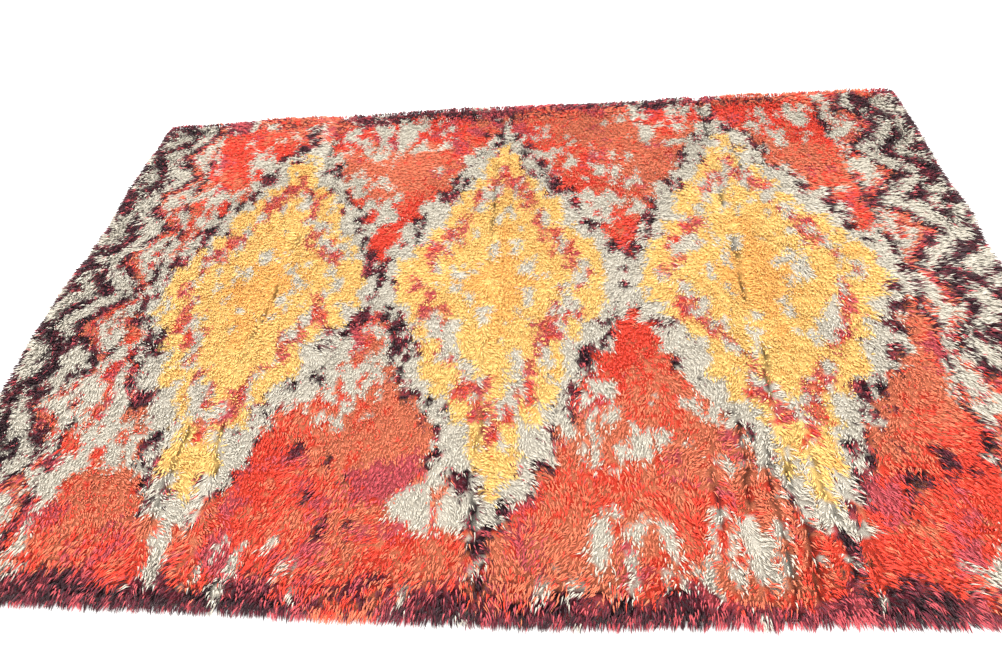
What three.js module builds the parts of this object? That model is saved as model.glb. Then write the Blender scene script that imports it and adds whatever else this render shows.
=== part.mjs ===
// A long-pile knotted rug (rya) lying flat on a floor, as one solid.
//
// Frame: millimetres, +Z up. The origin is on the floor under the middle of the rug,
// +X runs along the rug's length and +Y towards its back edge.
//
// The solid is the rug as it reads from a step away: a slab of pile with a lumpy top, soft
// rounded edges, the creases that folding left in it, and drooping locks of wool all round
// the rim that rest on the floor. The underside is one flat face.

import * as THREE from "three";

// Driving sizes of the rug.
const GROUND_LENGTH = 3000; // woven ground cloth, along X
const GROUND_WIDTH = 2000; // woven ground cloth, along Y
const PILE_HEIGHT = 36; // mean height of the standing pile
const PILE_OVERHANG = 30; // how far the rim's pile falls past the ground cloth
const CORNER_RADIUS = 24; // soft corners of the pile, seen from above

// The slab of pile, without the free ends of the rim's locks.
const LOCK_REACH = 25; // how far a rim lock stands out of the slab
const HALF_LENGTH = GROUND_LENGTH / 2 + PILE_OVERHANG - LOCK_REACH;
const HALF_WIDTH = GROUND_WIDTH / 2 + PILE_OVERHANG - LOCK_REACH;
const COLUMNS = 56; // cells across the length, between the rim rows
const ROWS = 38; // cells across the width, between the rim rows

// The slab's rounded edge: how far in from the side, and the share of the pile height there.
const EDGE_PROFILE = [
  { inset: 0, rise: 0.62 },
  { inset: 14, rise: 0.88 },
  { inset: 44, rise: 0.98 },
];
const FOOT_INSET = 6; // the slab draws in a little where it meets the floor

// How far each side strays from a straight line, outwards, along its run.
const SIDES = {
  front: [
    { along: -1500, out: -20 },
    { along: -1100, out: -10 },
    { along: -700, out: -4 },
    { along: -300, out: 7 },
    { along: 150, out: 12 },
    { along: 500, out: 3 },
    { along: 900, out: -8 },
    { along: 1500, out: -18 },
  ],
  back: [
    { along: -1500, out: -6 },
    { along: -1190, out: -6 },
    { along: -1010, out: 8 },
    { along: -650, out: 0 },
    { along: -300, out: 12 },
    { along: 30, out: 4 },
    { along: 530, out: -5 },
    { along: 850, out: 1 },
    { along: 1170, out: -7 },
    { along: 1500, out: -9 },
  ],
  left: [
    { along: -1000, out: -12 },
    { along: -370, out: -6 },
    { along: -60, out: 11 },
    { along: 310, out: -5 },
    { along: 610, out: 8 },
    { along: 1000, out: 5 },
  ],
  right: [
    { along: -1000, out: -8 },
    { along: 70, out: -11 },
    { along: 280, out: 6 },
    { along: 420, out: -2 },
    { along: 880, out: 11 },
    { along: 1000, out: 10 },
  ],
};
const STRAY_DEPTH = 260; // a side's waver dies out this far into the rug

// Creases and ridges, each along a straight line. A crease is a trough (height below zero)
// where the pile parts; a ridge is cloth that never settled flat between two creases.
const FOLDS = [
  { name: "left quarter crease", fromX: -711, fromY: 1000, toX: -770, toY: -436, halfWidth: 62, height: -9 },
  { name: "left front crease", fromX: -770, fromY: -406, toX: -701, toY: -1000, halfWidth: 62, height: -10 },
  { name: "middle crease", fromX: -36, fromY: 1000, toX: -39, toY: -878, halfWidth: 60, height: -8 },
  { name: "short middle crease", fromX: 148, fromY: -389, toX: 92, toY: -643, halfWidth: 55, height: -8 },
  { name: "right quarter crease", fromX: 768, fromY: 1000, toX: 738, toY: -488, halfWidth: 62, height: -11 },
  { name: "right front crease", fromX: 738, fromY: -449, toX: 728, toY: -1000, halfWidth: 58, height: -14 },
  { name: "fan crease, inner", fromX: 634, fromY: -507, toX: 609, toY: -1000, halfWidth: 58, height: -13 },
  { name: "fan crease, outer", fromX: 841, fromY: -644, toX: 869, toY: -1000, halfWidth: 60, height: -9 },
  { name: "fan ridge, inner", fromX: 683, fromY: -566, toX: 668, toY: -1000, halfWidth: 56, height: 15 },
  { name: "fan ridge, left", fromX: 554, fromY: -605, toX: 543, toY: -1000, halfWidth: 70, height: 10 },
  { name: "fan ridge, right", fromX: 792, fromY: -527, toX: 797, toY: -1000, halfWidth: 62, height: 12 },
  { name: "left front ridge", fromX: -850, fromY: -524, toX: -831, toY: -1000, halfWidth: 90, height: 8 },
  { name: "right back ridge", fromX: 851, fromY: 925, toX: 838, toY: 355, halfWidth: 90, height: 7 },
];
const FOLD_FADE = 130; // a fold dies out over this length at each of its ends

// Lumps in the pile: waves of uneven height, the finest one is a single clump of knots.
const LUMPS = [
  { pitch: 310, height: 3.6 },
  { pitch: 120, height: 4.2 },
  { pitch: 56, height: 5.6 },
];
const LEAST_TOP = 9; // the top of the slab is never lower than this

// Locks of pile round the rim, each pulled out of one cell of the slab's low wall.
const WALL_GROUP = 4; // of so many wall cells one stays bare
const LOCK_SHORTEST = 0.66; // the shortest lock's reach, as a share of the longest one's
const LOCK_LEAN = 0.3; // radians that a lock may lean to either side
// Halfway out a lock bends over. Shares of its reach, of its cell's width and of the rim's height.
const LOCK_BEND = { along: 0.48, width: 0.62, topWidth: 0.43, top: 0.72, underside: 0.1 };
const SEEDS = { lean: 5, reach: 7, bare: 23 }; // one for each chance property of the rim's locks
const HASH = { column: 127.1, row: 311.7, seed: 74.7, spread: 43758.5453 }; // for repeatable chance

// A repeatable number from 0 to 1 for a pair of whole numbers.
function scatter(i, j, seed) {
  const wave = Math.sin(i * HASH.column + j * HASH.row + seed * HASH.seed) * HASH.spread;
  return wave - Math.floor(wave);
}

function smooth(t) {
  const s = Math.min(1, Math.max(0, t));
  return s * s * (3 - 2 * s);
}

// Smooth unevenness from -1 to 1, with lumps about one pitch across.
function unevenness(x, y, pitch, seed) {
  const column = Math.floor(x / pitch);
  const row = Math.floor(y / pitch);
  const u = smooth(x / pitch - column);
  const v = smooth(y / pitch - row);
  const near = THREE.MathUtils.lerp(scatter(column, row, seed), scatter(column + 1, row, seed), u);
  const far = THREE.MathUtils.lerp(scatter(column, row + 1, seed), scatter(column + 1, row + 1, seed), u);
  return 2 * THREE.MathUtils.lerp(near, far, v) - 1;
}

// A side's waver at one place, from its table.
function stray(table, along) {
  const after = table.findIndex((row) => row.along > along);
  if (after === 0) return table[0].out;
  if (after < 0) return table[table.length - 1].out;
  const a = table[after - 1];
  const b = table[after];
  return THREE.MathUtils.lerp(a.out, b.out, smooth((along - a.along) / (b.along - a.along)));
}

// How much a fold lifts (or sinks) the pile at a point.
function foldLift(fold, x, y) {
  const runX = fold.toX - fold.fromX;
  const runY = fold.toY - fold.fromY;
  const length = Math.hypot(runX, runY);
  const along = ((x - fold.fromX) * runX + (y - fold.fromY) * runY) / length;
  const across = ((x - fold.fromX) * runY - (y - fold.fromY) * runX) / length;
  const start = smooth((along + FOLD_FADE / 2) / FOLD_FADE);
  const end = smooth((length + FOLD_FADE / 2 - along) / FOLD_FADE);
  return fold.height * start * end * (1 - smooth(Math.abs(across) / fold.halfWidth));
}

// The share of the pile height at a distance from the side.
function edgeRise(inset) {
  const after = EDGE_PROFILE.findIndex((row) => row.inset > inset);
  if (after < 0) return 1;
  const a = EDGE_PROFILE[Math.max(0, after - 1)];
  const b = EDGE_PROFILE[after];
  return THREE.MathUtils.lerp(a.rise, b.rise, (inset - a.inset) / (b.inset - a.inset));
}

// Height of the pile over a point of the plain rectangle.
function pileTop(x, y) {
  const rise = edgeRise(HALF_LENGTH - Math.abs(x)) * edgeRise(HALF_WIDTH - Math.abs(y));
  let top = PILE_HEIGHT;
  LUMPS.forEach(({ pitch, height }, wave) => {
    top += height * unevenness(x, y, pitch, wave);
  });
  FOLDS.forEach((fold) => {
    top += foldLift(fold, x, y);
  });
  return Math.max(LEAST_TOP, top * rise);
}

// Moves a point of the plain rectangle to its place in the real outline: the corners are
// rounded, and each side wavers as its table says.
function settle(x, y) {
  const inX = CORNER_RADIUS - (HALF_LENGTH - Math.abs(x));
  const inY = CORNER_RADIUS - (HALF_WIDTH - Math.abs(y));
  let px = Math.abs(x);
  let py = Math.abs(y);
  if (inX > 0 && inY > 0) {
    const p = inX / CORNER_RADIUS;
    const q = inY / CORNER_RADIUS;
    px += CORNER_RADIUS * p * (Math.sqrt(1 - (q * q) / 2) - 1);
    py += CORNER_RADIUS * q * (Math.sqrt(1 - (p * p) / 2) - 1);
  }
  const signX = Math.sign(x);
  const signY = Math.sign(y);
  const weightX = smooth(1 - (HALF_LENGTH - Math.abs(x)) / STRAY_DEPTH);
  const weightY = smooth(1 - (HALF_WIDTH - Math.abs(y)) / STRAY_DEPTH);
  const outX = stray(x < 0 ? SIDES.left : SIDES.right, y);
  const outY = stray(y < 0 ? SIDES.front : SIDES.back, x);
  return { x: signX * (px + outX * weightX), y: signY * (py + outY * weightY) };
}

// Grid lines from one side to the other: the rim rows, then even cells.
function gridLines(half, cells) {
  const insets = EDGE_PROFILE.slice(1).map((row) => row.inset);
  const first = insets[insets.length - 1];
  const span = 2 * (half - first);
  const inner = Array.from({ length: cells - 1 }, (_, k) => -half + first + (span * (k + 1)) / cells);
  return [...insets.map((d) => d - half), ...inner, ...insets.map((d) => half - d).reverse()];
}

// Vertex numbers once round a grid, starting at its front left corner, anticlockwise.
function ringOf(columns, rows) {
  const at = (i, j) => j * columns + i;
  const ring = [];
  for (let i = 0; i < columns - 1; i++) ring.push(at(i, 0));
  for (let j = 0; j < rows - 1; j++) ring.push(at(columns - 1, j));
  for (let i = columns - 1; i > 0; i--) ring.push(at(i, rows - 1));
  for (let j = rows - 1; j > 0; j--) ring.push(at(0, j));
  return ring;
}

// A closed skin of triangles, grown point by point.
class Skin {
  points = [];
  faces = [];

  // Adds a point and gives its number.
  add(x, y, z) {
    this.points.push(new THREE.Vector3(x, y, z));
    return this.points.length - 1;
  }

  triangle(a, b, c) {
    this.faces.push(a, b, c);
  }

  quad(a, b, c, d) {
    this.faces.push(a, b, d, b, c, d);
  }

  toGeometry() {
    const geometry = new THREE.BufferGeometry().setFromPoints(this.points).setIndex(this.faces);
    geometry.computeVertexNormals();
    return geometry;
  }
}

// The lumpy top. Gives the plain places of its outermost vertices and their numbers.
function addTop(skin) {
  const xLines = gridLines(HALF_LENGTH, COLUMNS);
  const yLines = gridLines(HALF_WIDTH, ROWS);
  const plain = [];
  yLines.forEach((y) =>
    xLines.forEach((x) => {
      const place = settle(x, y);
      skin.add(place.x, place.y, pileTop(x, y));
      plain.push({ x, y });
    }),
  );
  for (let j = 0; j < yLines.length - 1; j++) {
    for (let i = 0; i < xLines.length - 1; i++) {
      const a = j * xLines.length + i;
      const d = a + xLines.length;
      if ((i + j) % 2) skin.quad(a, a + 1, d + 1, d);
      else skin.quad(a + 1, d + 1, d, a);
    }
  }
  return ringOf(xLines.length, yLines.length).map((number) => ({ number, ...plain[number] }));
}

// The rounded shoulder from the top's outermost vertices down to the rim, which has twice as
// many. Gives the rim's vertex numbers.
function addShoulder(skin, ring) {
  const inset = EDGE_PROFILE[1].inset;
  const stretchX = HALF_LENGTH / (HALF_LENGTH - inset);
  const stretchY = HALF_WIDTH / (HALF_WIDTH - inset);
  const rim = [];
  ring.forEach((here, k) => {
    const next = ring[(k + 1) % ring.length];
    for (const share of [0, 0.5]) {
      const x = stretchX * THREE.MathUtils.lerp(here.x, next.x, share);
      const y = stretchY * THREE.MathUtils.lerp(here.y, next.y, share);
      const place = settle(x, y);
      rim.push(skin.add(place.x, place.y, pileTop(x, y)));
    }
  });
  ring.forEach((here, k) => {
    const next = ring[(k + 1) % ring.length];
    const after = rim[(2 * k + 2) % rim.length];
    skin.triangle(here.number, rim[2 * k], rim[2 * k + 1]);
    skin.triangle(here.number, rim[2 * k + 1], next.number);
    skin.triangle(next.number, rim[2 * k + 1], after);
  });
  return rim;
}

// The outline on the floor, drawn in a little, closed by the flat underside.
function addFoot(skin, rim) {
  const outline = rim.map((number) => {
    const { x, y } = skin.points[number];
    return new THREE.Vector2(x * (1 - FOOT_INSET / HALF_LENGTH), y * (1 - FOOT_INSET / HALF_WIDTH));
  });
  const foot = outline.map((p) => skin.add(p.x, p.y, 0));
  THREE.ShapeUtils.triangulateShape(outline, []).forEach(([a, b, c]) => {
    skin.triangle(foot[a], foot[c], foot[b]);
  });
  return foot;
}

// A lock of pile pulled out of one cell of the wall: it stands out, narrows and droops, and
// its tip rests on the floor. The cell is four vertex numbers, anticlockwise from outside.
function addLock(skin, cell, serial) {
  const [rimStart, footStart, footEnd, rimEnd] = cell.map((number) => skin.points[number]);
  const root = rimStart.clone().add(rimEnd).multiplyScalar(0.5);
  const aside = footEnd.clone().sub(footStart).setZ(0).normalize();
  const ahead = new THREE.Vector3(aside.y, -aside.x, 0);
  const lean = LOCK_LEAN * (2 * scatter(serial, 0, SEEDS.lean) - 1);
  const heading = ahead.clone().multiplyScalar(Math.cos(lean)).addScaledVector(aside, Math.sin(lean));
  const reach = LOCK_REACH * THREE.MathUtils.lerp(LOCK_SHORTEST, 1, scatter(serial, 0, SEEDS.reach));
  const middle = root.clone().addScaledVector(heading, reach * LOCK_BEND.along);
  const halfCell = rimStart.distanceTo(rimEnd) / 2;
  const corner = (sideways, height) => {
    const p = middle.clone().addScaledVector(aside, sideways * halfCell);
    return skin.add(p.x, p.y, height * root.z);
  };
  const bend = [
    corner(-LOCK_BEND.topWidth, LOCK_BEND.top),
    corner(-LOCK_BEND.width, LOCK_BEND.underside),
    corner(LOCK_BEND.width, LOCK_BEND.underside),
    corner(LOCK_BEND.topWidth, LOCK_BEND.top),
  ];
  const end = root.clone().addScaledVector(heading, reach);
  const tip = skin.add(end.x, end.y, 0);
  cell.forEach((start, k) => {
    const turn = (k + 1) % cell.length;
    skin.quad(start, cell[turn], bend[turn], bend[k]);
    skin.triangle(bend[k], bend[turn], tip);
  });
}

// The low wall between rim and foot. One cell of each group stays bare, the rest carry a lock.
function addWall(skin, rim, foot) {
  rim.forEach((number, k) => {
    const next = (k + 1) % rim.length;
    const cell = [number, foot[k], foot[next], rim[next]];
    const group = Math.floor(k / WALL_GROUP);
    const bare = Math.floor(WALL_GROUP * scatter(group, 0, SEEDS.bare));
    if (k % WALL_GROUP === bare) skin.quad(...cell);
    else addLock(skin, cell, k);
  });
}

function buildRug() {
  const skin = new Skin();
  const ring = addTop(skin);
  const rim = addShoulder(skin, ring);
  const foot = addFoot(skin, rim);
  addWall(skin, rim, foot);
  return skin.toGeometry();
}

const wool = new THREE.MeshStandardMaterial({
  name: "wool pile",
  color: 0xc9603a,
  roughness: 0.95,
  metalness: 0,
});
const rug = new THREE.Mesh(buildRug(), wool);
rug.name = "rug";

const part = new THREE.Group();
part.add(rug);
export default part;
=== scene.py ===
# %% [markdown]
# A rya is a rug with a long, loose pile. Rows of short yarn ends are knotted into a plain woven
# ground, and they are so long that they lie over and hide it. This lesson dresses the rug's solid
# with its real surface: a woven ground, a bed of the pile's packed roots, and more than a hundred
# thousand single locks of wool in eight yarn colours, which follow the rug's lumps and creases.
#
# Everything is in metres, with the floor at z = 0 and the rug's middle at x = y = 0.

import math

import bpy
import numpy as np
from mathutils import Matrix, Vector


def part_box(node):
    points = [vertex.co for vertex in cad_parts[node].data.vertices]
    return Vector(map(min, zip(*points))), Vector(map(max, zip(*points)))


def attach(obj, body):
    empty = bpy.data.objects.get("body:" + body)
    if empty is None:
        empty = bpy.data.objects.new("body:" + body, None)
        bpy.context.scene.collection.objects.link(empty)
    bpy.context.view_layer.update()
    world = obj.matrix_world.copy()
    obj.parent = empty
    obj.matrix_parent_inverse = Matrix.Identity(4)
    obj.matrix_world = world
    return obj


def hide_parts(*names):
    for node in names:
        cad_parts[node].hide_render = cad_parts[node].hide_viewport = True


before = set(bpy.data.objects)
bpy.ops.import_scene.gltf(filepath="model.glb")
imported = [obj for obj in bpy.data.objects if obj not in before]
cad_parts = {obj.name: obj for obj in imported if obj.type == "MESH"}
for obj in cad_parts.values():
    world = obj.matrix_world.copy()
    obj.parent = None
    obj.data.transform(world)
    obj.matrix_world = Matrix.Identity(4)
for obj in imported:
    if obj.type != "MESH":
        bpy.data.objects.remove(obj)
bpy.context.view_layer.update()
rug_low, rug_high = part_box("rug")
print("the solid reaches from", list(rug_low), "to", list(rug_high))

# %% [markdown]
# The rug is seen from standing height, a little right of its middle, with a wide lens that looks
# down and leans slightly to one side. The camera could be placed by eye and nudged. These values
# come instead from the four sides of the rug, which fix where the camera stood.

# %% Set up the camera
CAMERA_PLACE = (0.1887, -1.3629, 1.4520)
CAMERA_TURN = (0.6832, 0.0876, 0.0440)
CAMERA_LENS_MM = 22.20
SENSOR_WIDTH_MM = 36
FARTHEST_SEEN = 60

camera_data = bpy.data.cameras.new("camera")
camera_data.lens = CAMERA_LENS_MM
camera_data.sensor_width = SENSOR_WIDTH_MM
camera_data.clip_end = FARTHEST_SEEN
camera = bpy.data.objects.new("camera", camera_data)
camera.location = CAMERA_PLACE
camera.rotation_euler = CAMERA_TURN
bpy.context.scene.collection.objects.link(camera)
bpy.context.scene.camera = camera
print("camera stands", round(CAMERA_PLACE[2], 2), "m above the floor")

# %% [markdown]
# The light is high-key: a white floor, a bright even sky and soft boxes overhead. Long pile needs
# some direction in its light as well, or its locks lose their shape, so one box is stronger and
# stands to the back left. The Standard view keeps the dyed colours as saturated as they are.

# %% Light the studio
FLOOR_SIZE = 60.0
FLOOR_DROP = 0.0006  # the floor lies this far under the rug, so that the two don't flicker
SKY_COLOUR = (1.0, 0.99, 0.975, 1)
SKY_STRENGTH = 2.28
FLOOR_COLOUR = (0.86, 0.86, 0.855, 1)
SOFT_BOXES = [
    # name, place, size, watts
    ("key box", (-1.2, 2.4, 3.2), 3.0, 165),
    ("fill box", (1.8, -2.6, 3.4), 3.0, 100),
]


def nothing_selected():
    """An operator acts on all that is selected, so each piece starts from a clean slate."""
    if bpy.context.mode != "OBJECT":
        bpy.ops.object.mode_set(mode="OBJECT")
    bpy.ops.object.select_all(action="DESELECT")


def light_studio():
    world = bpy.data.worlds.new("studio")
    world.use_nodes = True
    sky = world.node_tree.nodes["Background"]
    sky.inputs["Color"].default_value = SKY_COLOUR
    sky.inputs["Strength"].default_value = SKY_STRENGTH
    bpy.context.scene.world = world
    for name, place, size, watts in SOFT_BOXES:
        data = bpy.data.lights.new(name, "AREA")
        data.shape = "SQUARE"
        data.size = size
        data.energy = watts
        box = bpy.data.objects.new(name, data)
        box.location = place
        bpy.context.scene.collection.objects.link(box)
        aim = -box.location.normalized()
        box.rotation_euler = aim.to_track_quat("-Z", "Y").to_euler()
    bpy.context.scene.view_settings.view_transform = "Standard"


def lay_floor():
    nothing_selected()
    bpy.ops.mesh.primitive_plane_add(size=FLOOR_SIZE, location=(0, 0, -FLOOR_DROP))
    floor = bpy.context.object
    floor.name = "floor"
    paint = bpy.data.materials.new("white floor")
    paint.use_nodes = True
    shader = paint.node_tree.nodes["Principled BSDF"]
    shader.inputs["Base Color"].default_value = FLOOR_COLOUR
    shader.inputs["Roughness"].default_value = 0.7
    floor.data.materials.append(paint)


light_studio()
lay_floor()
print("lights:", [name for name, *_ in SOFT_BOXES])

# %% [markdown]
# The pile must lie on the same creases and inside the same outline as the solid, so the sizes and
# the short tables here repeat the solid's own. A side's table says how far it strays outwards from
# a straight line. A fold's row is a line across the rug: a crease has a height below zero.

# %% Sizes of the rug
GROUND_LENGTH = 3.0  # woven ground, along x
GROUND_WIDTH = 2.0  # woven ground, along y
PILE_HEIGHT = 0.036
PILE_OVERHANG = 0.030  # how far the pile falls past the ground weave
CORNER_RADIUS = 0.024
LOCK_REACH = 0.025  # how far the outermost locks reach past the body of the pile
HALF_LENGTH = GROUND_LENGTH / 2 + PILE_OVERHANG - LOCK_REACH
HALF_WIDTH = GROUND_WIDTH / 2 + PILE_OVERHANG - LOCK_REACH
STRAY_DEPTH = 0.26  # how far in from a side its waver is felt
FOLD_FADE = 0.13  # a fold starts and ends over this length
LEAST_TOP = 0.009  # the pile is nowhere lower
EDGE_INSETS = [0, 0.014, 0.044]  # so far in from the edge ...
EDGE_RISES = [0.62, 0.88, 0.98]  # ... the pile has this share of its height

SIDES = {
    # along the side, outwards
    "front": [(-1.5, -0.020), (-1.1, -0.010), (-0.7, -0.004), (-0.3, 0.007), (0.15, 0.012),
              (0.5, 0.003), (0.9, -0.008), (1.5, -0.018)],
    "back": [(-1.5, -0.006), (-1.19, -0.006), (-1.01, 0.008), (-0.65, 0.0), (-0.3, 0.012),
             (0.03, 0.004), (0.53, -0.005), (0.85, 0.001), (1.17, -0.007), (1.5, -0.009)],
    "left": [(-1.0, -0.012), (-0.37, -0.006), (-0.06, 0.011), (0.31, -0.005), (0.61, 0.008),
             (1.0, 0.005)],
    "right": [(-1.0, -0.008), (0.07, -0.011), (0.28, 0.006), (0.42, -0.002), (0.88, 0.011),
              (1.0, 0.010)],
}
FOLDS = [
    # from x, from y, to x, to y, half width, height
    (-0.711, 1.000, -0.770, -0.436, 0.062, -0.009),  # left quarter crease
    (-0.770, -0.406, -0.701, -1.000, 0.062, -0.010),  # left front crease
    (-0.036, 1.000, -0.039, -0.878, 0.060, -0.008),  # middle crease
    (0.148, -0.389, 0.092, -0.643, 0.055, -0.008),  # short middle crease
    (0.768, 1.000, 0.738, -0.488, 0.062, -0.011),  # right quarter crease
    (0.738, -0.449, 0.728, -1.000, 0.058, -0.014),  # right front crease
    (0.634, -0.507, 0.609, -1.000, 0.058, -0.013),  # fan crease, inner
    (0.841, -0.644, 0.869, -1.000, 0.060, -0.009),  # fan crease, outer
    (0.683, -0.566, 0.668, -1.000, 0.056, 0.015),  # fan ridge, inner
    (0.554, -0.605, 0.543, -1.000, 0.070, 0.010),  # fan ridge, left
    (0.792, -0.527, 0.797, -1.000, 0.062, 0.012),  # fan ridge, right
    (-0.850, -0.524, -0.831, -1.000, 0.090, 0.008),  # left front ridge
    (0.851, 0.925, 0.838, 0.355, 0.090, 0.007),  # right back ridge
]
LUMPS = [(0.310, 0.0036), (0.120, 0.0042), (0.056, 0.0056)]  # pitch, height
print("ground weave", GROUND_LENGTH, "by", GROUND_WIDTH, "m,", len(FOLDS), "creases and ridges")

# %% [markdown]
# Nothing on a hand-made rug is even. A smooth unevenness, like the height of gentle hills, serves
# for the lumps of the pile, for the way it leans and for the ragged edges of its colours. Blender's
# own noise could be read point by point. Doing it on whole arrays at once is far quicker here.


# %% Smooth unevenness on arrays
def scatter(i, j, seed):
    """A repeatable number from 0 to 1 for each pair of whole numbers."""
    wave = np.sin(i * 127.1 + j * 311.7 + seed * 74.7) * 43758.5453
    return wave - np.floor(wave)


def smooth(t):
    s = np.clip(t, 0, 1)
    return s * s * (3 - 2 * s)


def unevenness(x, y, pitch, seed):
    """From -1 to 1, with lumps about one pitch across."""
    column, row = np.floor(x / pitch), np.floor(y / pitch)
    u, v = smooth(x / pitch - column), smooth(y / pitch - row)
    near = (1 - u) * scatter(column, row, seed) + u * scatter(column + 1, row, seed)
    far = (1 - u) * scatter(column, row + 1, seed) + u * scatter(column + 1, row + 1, seed)
    return 2 * ((1 - v) * near + v * far) - 1


def turned_unevenness(x, y, pitch, seed):
    """The same on a grid that is turned, so that no pattern of squares shows in the colours."""
    turn = 0.6 + seed
    across = x * math.cos(turn) - y * math.sin(turn)
    along = x * math.sin(turn) + y * math.cos(turn)
    return unevenness(across, along, pitch, seed)


def layered(x, y, layers, start=0):
    """Layers of turned unevenness laid over each other. A layer has a height, a pitch and a seed."""
    return sum((height * turned_unevenness(x, y, pitch, seed) for height, pitch, seed in layers), start)


def along_fold(fold, x, y):
    """How strongly a fold acts at each point (0 to 1) and the signed distance from its line."""
    from_x, from_y, to_x, to_y, half_width, _ = fold
    run_x, run_y = to_x - from_x, to_y - from_y
    length = math.hypot(run_x, run_y)
    along = ((x - from_x) * run_x + (y - from_y) * run_y) / length
    across = ((x - from_x) * run_y - (y - from_y) * run_x) / length
    fade = smooth((along + FOLD_FADE / 2) / FOLD_FADE)
    fade = fade * smooth((length + FOLD_FADE / 2 - along) / FOLD_FADE)
    return fade * (1 - smooth(np.abs(across) / half_width)), across


def edge_rise(inset):
    rise = np.interp(inset, EDGE_INSETS, EDGE_RISES)
    return np.where(inset >= EDGE_INSETS[-1], 1.0, rise)


def pile_top(x, y):
    """Height of the pile over a point of the plain rectangle, as on the solid."""
    rise = edge_rise(HALF_LENGTH - np.abs(x)) * edge_rise(HALF_WIDTH - np.abs(y))
    top = PILE_HEIGHT + sum(h * unevenness(x, y, pitch, k) for k, (pitch, h) in enumerate(LUMPS))
    for fold in FOLDS:
        top = top + fold[-1] * along_fold(fold, x, y)[0]
    return np.maximum(LEAST_TOP, top * rise)


print("pile over the middle:", round(float(pile_top(0.2, 0.1)) * 1000, 1), "mm")

# %% [markdown]
# Seen from above the rug isn't a true rectangle: its corners are a little round and its sides
# waver. The pile is planned on the plain rectangle, and each root then settles into its real place.


# %% Settle into the real outline
def side_stray(name, along):
    """A side's waver from its table, eased between the table's rows."""
    table = np.array(SIDES[name])
    after = np.clip(np.searchsorted(table[:, 0], along, side="right"), 1, len(table) - 1)
    a, b = table[after - 1], table[after]
    share = smooth((along - a[..., 0]) / (b[..., 0] - a[..., 0]))
    return (1 - share) * a[..., 1] + share * b[..., 1]


def settle(x, y):
    x, y = np.asarray(x, float), np.asarray(y, float)
    in_x = CORNER_RADIUS - (HALF_LENGTH - np.abs(x))
    in_y = CORNER_RADIUS - (HALF_WIDTH - np.abs(y))
    p = np.where((in_x > 0) & (in_y > 0), np.clip(in_x / CORNER_RADIUS, 0, 1), 0)
    q = np.where((in_x > 0) & (in_y > 0), np.clip(in_y / CORNER_RADIUS, 0, 1), 0)
    placed_x = np.abs(x) + CORNER_RADIUS * p * (np.sqrt(1 - q * q / 2) - 1)
    placed_y = np.abs(y) + CORNER_RADIUS * q * (np.sqrt(1 - p * p / 2) - 1)
    weight_x = smooth(1 - (HALF_LENGTH - np.abs(x)) / STRAY_DEPTH)
    weight_y = smooth(1 - (HALF_WIDTH - np.abs(y)) / STRAY_DEPTH)
    out_x = np.where(x < 0, side_stray("left", y), side_stray("right", y))
    out_y = np.where(y < 0, side_stray("front", x), side_stray("back", x))
    return np.sign(x) * (placed_x + out_x * weight_x), np.sign(y) * (placed_y + out_y * weight_y)


front_left = settle(-HALF_LENGTH, -HALF_WIDTH)
print("front left corner settles at", [round(float(c), 3) for c in front_left])

# %% [markdown]
# Eight yarns make the whole picture. Rya makers lay two or three ends of different colours in
# one knot, so colours melt into each other and edges are ragged. The design here is a
# traditional one: stepped lozenges in a row, zigzags at both ends and a narrow dark edge along
# the sides. The two yellow yarns are a little thicker than the others, so they cover better.

# %% The yarns
YARNS = [
    # name, colour, the other ply's colour, the root's painted shade as its lightness beside the tip's
    # (above 1 it is painted light), thickness
    ("plum", (0.027, 0.008, 0.013), (0.056, 0.015, 0.022), 0.40, 0.96),
    ("wine", (0.205, 0.028, 0.046), (0.110, 0.018, 0.030), 0.42, 0.96),
    ("rose", (0.660, 0.104, 0.116), (0.470, 0.062, 0.082), 0.46, 1.0),
    ("coral", (0.900, 0.077, 0.038), (0.770, 0.054, 0.031), 0.46, 1.0),
    ("orange", (0.780, 0.222, 0.112), (0.665, 0.156, 0.082), 0.48, 1.0),
    ("amber", (0.735, 0.405, 0.115), (0.730, 0.387, 0.108), 1.25, 1.15),
    ("yellow", (0.735, 0.482, 0.158), (0.730, 0.468, 0.152), 1.28, 1.15),
    ("cream", (0.620, 0.570, 0.478), (0.555, 0.510, 0.425), 0.78, 1.0),
]
PLUM, WINE, ROSE, CORAL, ORANGE, AMBER, YELLOW, CREAM = range(len(YARNS))
print("yarns:", ", ".join(name for name, *_ in YARNS))

# %% [markdown]
# A knot's place is first shaken, in large and in small steps, and then looked up in the design.
# That makes the ragged edges in one go. Inside each band of the design, chance picks between the
# band's own yarns, with patches of flecks where an unevenness is high.

# %% Look a place up in the design
FLECK_STRETCH = 0.5  # a fleck is so much narrower than it is long
FLECKS = [(0.52, 0.038, 15), (0.62, 0.0175, 16)]  # height, pitch, seed
SHAKES_X = [(0.018, 0.105, 11), (0.016, 0.034, 12)]  # how far, pitch, seed
SHAKES_Y = [(0.018, 0.105, 13), (0.016, 0.034, 14)]
SQUIGGLE_PITCH = 0.075
SQUIGGLE_WIDTH = 0.13  # as a share of the unevenness that draws the lines


def pick(shares, chance):
    """One yarn for each knot, from a band's yarns and their running shares."""
    yarns = np.array([yarn for yarn, _ in shares])
    return yarns[np.searchsorted([share for _, share in shares], chance).clip(0, len(yarns) - 1)]


def flecks(x, y):
    """High in small patches. They are longer along y, the way the pile lies."""
    return layered(x, FLECK_STRETCH * y, FLECKS)


def squiggles(x, y):
    """True along thin winding lines, as where one colour runs through another."""
    return np.abs(turned_unevenness(x, y, SQUIGGLE_PITCH, 25)) < SQUIGGLE_WIDTH


def triangle_wave(s):
    """From -1 to 1 and back over one whole step of s."""
    return 4 * np.abs(s - np.floor(s + 0.5)) - 1


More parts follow.
